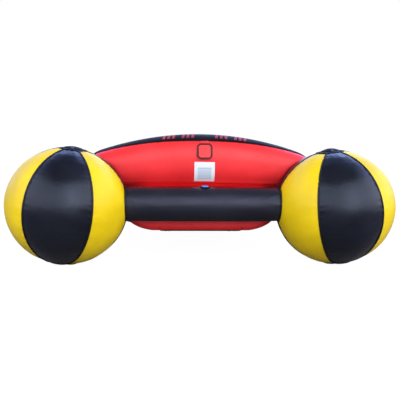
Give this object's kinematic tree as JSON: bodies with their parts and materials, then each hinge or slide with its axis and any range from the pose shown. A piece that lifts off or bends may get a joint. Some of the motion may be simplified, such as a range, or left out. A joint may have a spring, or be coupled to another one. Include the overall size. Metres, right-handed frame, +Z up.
{
  "type": "towable tube",
  "caption": "Inflatable two-seat towable lounge: red hull, arched backrest, armrests and nose roll, carried at the rear by black and yellow ball floats on a black cross tube.",
  "frame": {"origin": "centre of the bounding box's bottom, on the floor plane that the balls and the keel patch stand on", "axes": "+X across the lounge to the rider's right, the longest extent; +Y forward, the way it is towed, with the balls at the back; +Z up"},
  "size_m": [2.3326, 1.9488, 0.7774],
  "materials": {
    "red_nylon": "gloss",
    "black_nylon": "gloss",
    "yellow_nylon": "gloss",
    "pvc_bladder": "satin",
    "seat_neoprene": "matte",
    "webbing": "matte",
    "grip_foam": "matte",
    "valve_plastic": "satin",
    "blue_plastic": "gloss",
    "label_film": "satin",
    "steel": "polished"
  },
  "bodies": {
    "lounge": {"armrest_left_bladder": "pvc_bladder", "armrest_left_cover": "red_nylon", "armrest_right_bladder": "pvc_bladder", "armrest_right_cover": "red_nylon", "backrest_bladder": "pvc_bladder", "backrest_cover": "red_nylon", "backrest_front_pad": "seat_neoprene", "backrest_label": "label_film", "backrest_top_panel": "black_nylon", "backrest_valve": "valve_plastic", "ball_left_base_patch": "black_nylon", "ball_left_black_panel_1": "black_nylon", "ball_left_black_panel_2": "black_nylon", "ball_left_black_panel_3": "black_nylon", "ball_left_bladder": "pvc_bladder", "ball_left_top_cap": "black_nylon", "ball_left_valve": "valve_plastic", "ball_left_yellow_panel_1": "yellow_nylon", "ball_left_yellow_panel_2": "yellow_nylon", "ball_left_yellow_panel_3": "yellow_nylon", "ball_right_base_patch": "black_nylon", "ball_right_black_panel_1": "black_nylon", "ball_right_black_panel_2": "black_nylon", "ball_right_black_panel_3": "black_nylon", "ball_right_bladder": "pvc_bladder", "ball_right_top_cap": "black_nylon", "ball_right_valve": "valve_plastic", "ball_right_yellow_panel_1": "yellow_nylon", "ball_right_yellow_panel_2": "yellow_nylon", "ball_right_yellow_panel_3": "yellow_nylon", "cross_tube_bladder": "pvc_bladder", "cross_tube_sleeve": "black_nylon", "cross_tube_valve": "valve_plastic", "hull_bladder": "pvc_bladder", "hull_cover": "red_nylon", "hull_valve": "valve_plastic", "keel_patch": "black_nylon", "nose_roll_bladder": "pvc_bladder", "nose_roll_cover": "red_nylon", "seat_pad_left": "seat_neoprene", "seat_pad_right": "seat_neoprene", "tow_patch": "webbing", "tow_strap": "webbing", "zip_tape": "webbing"},
    "backrest_flap": {"backrest_valve_flap": "red_nylon"},
    "left_valve_cover": {"ball_left_valve_cover": "black_nylon"},
    "right_valve_cover": {"ball_right_valve_cover": "black_nylon"},
    "tube_valve_cap": {"cross_tube_valve_cap": "blue_plastic"},
    "deck_handle_rear": {"deck_handle_1_strap": "webbing", "deck_handle_1_grip": "grip_foam"},
    "deck_handle_front": {"deck_handle_2_strap": "webbing", "deck_handle_2_grip": "grip_foam"},
    "arm_handle_left": {"arm_handle_left_strap": "webbing", "arm_handle_left_grip": "grip_foam"},
    "arm_handle_right": {"arm_handle_right_strap": "webbing", "arm_handle_right_grip": "grip_foam"},
    "tow_ring": {"tow_ring": "steel"},
    "zip_slider": {"zip_slider": "steel"}
  },
  "joints": [
    {"name": "backrest_flap_hinge", "type": "hinge", "parent": "lounge", "child": "backrest_flap", "pos_m": [0.0165, -0.49418, 0.72672], "axis": [-1, 0, 0], "range_deg": [0, 150]},
    {"name": "left_valve_cover_hinge", "type": "hinge", "parent": "lounge", "child": "left_valve_cover", "pos_m": [-0.7683, -0.56483, 0.69722], "axis": [-0.993, 0, 0.1184], "range_deg": [0, 130]},
    {"name": "right_valve_cover_hinge", "type": "hinge", "parent": "lounge", "child": "right_valve_cover", "pos_m": [0.7683, -0.56483, 0.69722], "axis": [-0.993, 0, -0.1184], "range_deg": [0, 130]},
    {"name": "tube_valve_cap_hinge", "type": "hinge", "parent": "lounge", "child": "tube_valve_cap", "pos_m": [0.013, -0.58883, 0.4642], "axis": [-1, 0, 0], "range_deg": [0, 115]},
    {"name": "deck_handle_rear_swing", "type": "hinge", "parent": "lounge", "child": "deck_handle_rear", "pos_m": [0, 0.00517, 0.43046], "axis": [0, 0.9979, -0.0652], "range_deg": [-70, 70]},
    {"name": "deck_handle_front_swing", "type": "hinge", "parent": "lounge", "child": "deck_handle_front", "pos_m": [0, 0.30517, 0.41089], "axis": [0, 0.9979, -0.0652], "range_deg": [-70, 70]},
    {"name": "arm_handle_left_swing", "type": "hinge", "parent": "lounge", "child": "arm_handle_left", "pos_m": [-0.575, 0.18518, 0.57272], "axis": [0, 0.9979, -0.0652], "range_deg": [-70, 70]},
    {"name": "arm_handle_right_swing", "type": "hinge", "parent": "lounge", "child": "arm_handle_right", "pos_m": [0.575, 0.18518, 0.57272], "axis": [0, 0.9979, -0.0652], "range_deg": [-70, 70]},
    {"name": "tow_ring_swing", "type": "hinge", "parent": "lounge", "child": "tow_ring", "pos_m": [0, 0.96518, 0.285], "axis": [1, 0, 0], "range_deg": [-20, 100]},
    {"name": "zip_slider_slide", "type": "slide", "parent": "lounge", "child": "zip_slider", "axis": [1, 0, 0], "range_m": [0, 0.57]}
  ]
}
